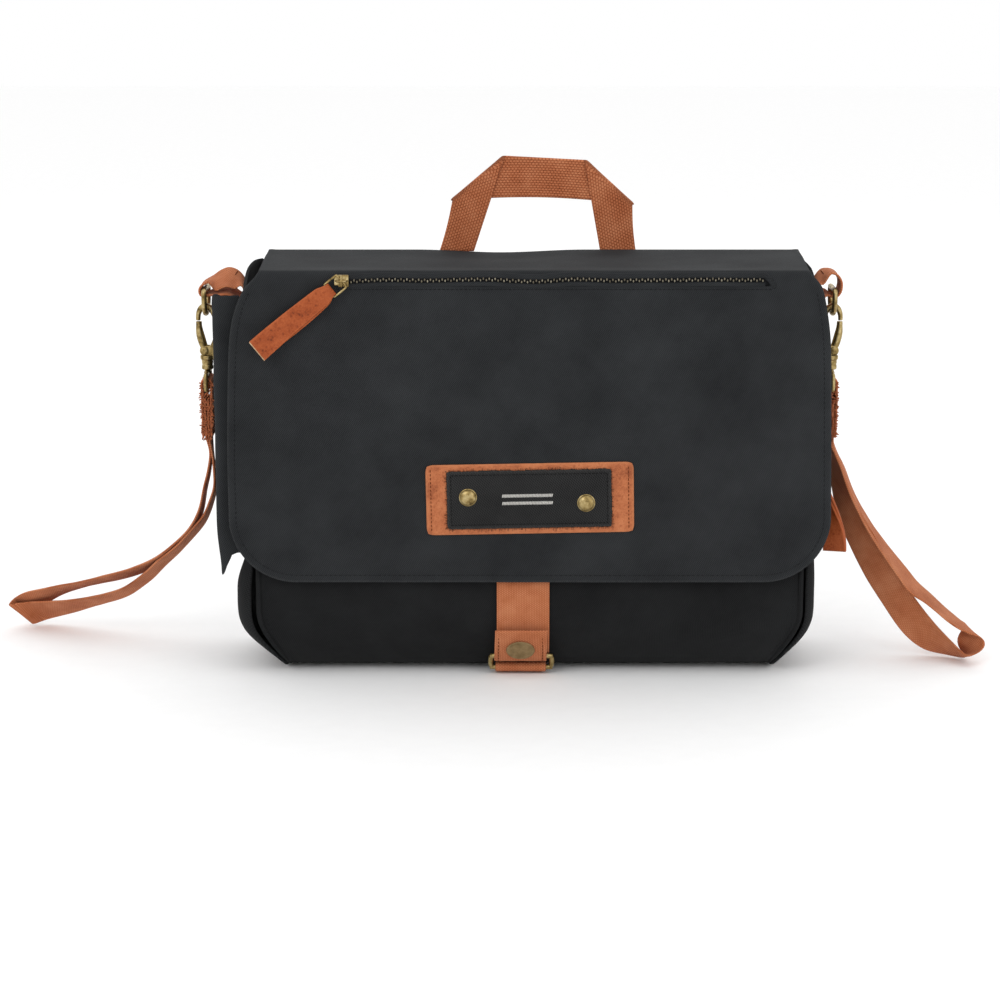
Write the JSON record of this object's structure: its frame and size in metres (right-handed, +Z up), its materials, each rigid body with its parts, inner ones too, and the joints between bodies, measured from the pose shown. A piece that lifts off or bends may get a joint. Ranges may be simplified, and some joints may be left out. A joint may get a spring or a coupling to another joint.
{
  "type": "messenger bag",
  "caption": "Canvas messenger bag with a zipped flap, webbing and press-stud closure, side pockets, carry handle and clip-on webbing straps.",
  "frame": {"origin": "centre of the underside of the base, on the surface the bag stands on", "axes": "+X to the right seen from the front, +Y towards the back (the flap faces -Y), +Z up"},
  "size_m": [0.6955, 0.1703, 0.354],
  "materials": {
    "canvas": "charcoal cotton canvas",
    "lining": "grey lining cloth",
    "webbing": "tan cotton webbing",
    "antique_brass": "antique brass plate, worn bright on the edges",
    "patch_leather": "tan grained leather",
    "label_canvas": "black canvas with raw edges",
    "pull_leather": "rust leather with dimples and raw cut ends",
    "zip_tape": "black woven tape",
    "zip_teeth": "dull antique metal teeth"
  },
  "bodies": {
    "bag": {"front_panel": "canvas", "base_panel": "canvas", "back_panel": "canvas", "left_gusset": "canvas", "right_gusset": "canvas", "lining": "lining", "bottle_pocket": "canvas", "side_zip_tape": "zip_tape", "side_zip_teeth": "zip_teeth", "handle_end_left": "webbing", "handle_end_right": "webbing", "left_tab": "webbing", "right_tab": "webbing", "ring_anchor": "webbing"},
    "flap_top": {"flap_top_canvas": "canvas", "flap_top_lining": "lining"},
    "flap_front": {"flap_front_canvas": "canvas", "flap_front_lining": "lining", "flap_zip_tape": "zip_tape", "flap_zip_teeth": "zip_teeth", "leather_patch": "patch_leather", "canvas_label": "label_canvas", "rivet_left": "antique_brass", "rivet_right": "antique_brass", "closure_strap": "webbing", "snap_stud": "antique_brass"},
    "flap_slider": {"flap_zip_slider": "antique_brass"},
    "flap_pull": {"flap_zip_ring": "antique_brass", "flap_zip_puller": "pull_leather"},
    "closure_tail": {"closure_tail": "webbing", "snap_socket": "antique_brass", "snap_cap": "antique_brass"},
    "closure_ring": {"closure_ring": "antique_brass"},
    "side_slider": {"side_zip_slider": "antique_brass"},
    "side_pull": {"side_zip_ring": "antique_brass", "side_zip_puller": "pull_leather"},
    "handle": {"handle": "webbing"},
    "left_ring": {"left_d_ring": "antique_brass"},
    "left_hook": {"left_hook_body": "antique_brass", "left_gate_pin": "antique_brass"},
    "left_gate": {"left_hook_gate": "antique_brass"},
    "left_eye": {"left_swivel_eye": "antique_brass"},
    "left_webbing": {"left_strap": "webbing", "left_strap_fold": "webbing"},
    "right_ring": {"right_d_ring": "antique_brass"},
    "right_hook": {"right_hook_body": "antique_brass", "right_gate_pin": "antique_brass"},
    "right_gate": {"right_hook_gate": "antique_brass"},
    "right_eye": {"right_swivel_eye": "antique_brass"},
    "right_webbing": {"right_strap": "webbing", "right_strap_fold": "webbing"}
  },
  "joints": [
    {"name": "flap_open", "type": "hinge", "parent": "bag", "child": "flap_top", "pos_m": [0, 0.0583, 0.287], "axis": [-1, 0, 0], "range_deg": [0, 90]},
    {"name": "flap_fold", "type": "hinge", "parent": "flap_top", "child": "flap_front", "pos_m": [0, -0.05815, 0.287], "axis": [-1, 0, 0], "range_deg": [0, 85]},
    {"name": "flap_zip_slide", "type": "slide", "parent": "flap_front", "child": "flap_slider", "axis": [1, 0, 0], "range_m": [0, 0.283]},
    {"name": "flap_pull_swing", "type": "hinge", "parent": "flap_slider", "child": "flap_pull", "pos_m": [-0.1285, -0.0655, 0.2805], "axis": [0, -1, 0], "range_deg": [0, 100]},
    {"name": "closure_tail_fold", "type": "hinge", "parent": "flap_front", "child": "closure_tail", "pos_m": [0, -0.0511, 0.014], "axis": [1, 0, 0], "range_deg": [0, 75]},
    {"name": "closure_ring_tilt", "type": "hinge", "parent": "bag", "child": "closure_ring", "pos_m": [0, -0.046, 0.0046], "axis": [1, 0, 0], "range_deg": [-4, 4]},
    {"name": "side_zip_slide", "type": "slide", "parent": "bag", "child": "side_slider", "axis": [0, 1, 0], "range_m": [0, 0.065]},
    {"name": "side_pull_swing", "type": "hinge", "parent": "side_slider", "child": "side_pull", "pos_m": [0.204, -0.03, 0.158], "axis": [1, 0, 0], "range_deg": [-14, 45]},
    {"name": "handle_fold", "type": "hinge", "parent": "bag", "child": "handle", "pos_m": [0, 0.0596, 0.2884], "axis": [-1, 0, 0], "range_deg": [-88, 120]},
    {"name": "left_ring_swing", "type": "hinge", "parent": "bag", "child": "left_ring", "pos_m": [-0.2285, 0.015, 0.2645], "axis": [0, 1, 0], "range_deg": [0, 45]},
    {"name": "left_hook_swing", "type": "hinge", "parent": "left_ring", "child": "left_hook", "pos_m": [-0.2285, 0.015, 0.2475], "axis": [0, 1, 0], "range_deg": [0, 25]},
    {"name": "left_gate_open", "type": "hinge", "parent": "left_hook", "child": "left_gate", "pos_m": [-0.23, 0.015, 0.2205], "axis": [0, -1, 0], "range_deg": [0, 24], "stiffness_Nm_per_rad": 0.01, "springref_deg": -5.73},
    {"name": "left_swivel", "type": "hinge", "parent": "left_hook", "child": "left_eye", "pos_m": [-0.2285, 0.015, 0.2], "axis": [0, 0, 1], "range_deg": [-12, 12]},
    {"name": "left_strap_swing", "type": "hinge", "parent": "left_eye", "child": "left_webbing", "pos_m": [-0.2285, 0.015, 0.194], "axis": [0, 1, 0], "range_deg": [0, 45]},
    {"name": "right_ring_swing", "type": "hinge", "parent": "bag", "child": "right_ring", "pos_m": [0.2145, 0.015, 0.2645], "axis": [0, -1, 0], "range_deg": [0, 45]},
    {"name": "right_hook_swing", "type": "hinge", "parent": "right_ring", "child": "right_hook", "pos_m": [0.2145, 0.015, 0.2475], "axis": [0, -1, 0], "range_deg": [0, 25]},
    {"name": "right_gate_open", "type": "hinge", "parent": "right_hook", "child": "right_gate", "pos_m": [0.216, 0.015, 0.2205], "axis": [0, 1, 0], "range_deg": [0, 24], "stiffness_Nm_per_rad": 0.01, "springref_deg": -5.73},
    {"name": "right_swivel", "type": "hinge", "parent": "right_hook", "child": "right_eye", "pos_m": [0.2145, 0.015, 0.2], "axis": [0, 0, 1], "range_deg": [-12, 12]},
    {"name": "right_strap_swing", "type": "hinge", "parent": "right_eye", "child": "right_webbing", "pos_m": [0.2145, 0.015, 0.194], "axis": [0, -1, 0], "range_deg": [0, 45]}
  ]
}
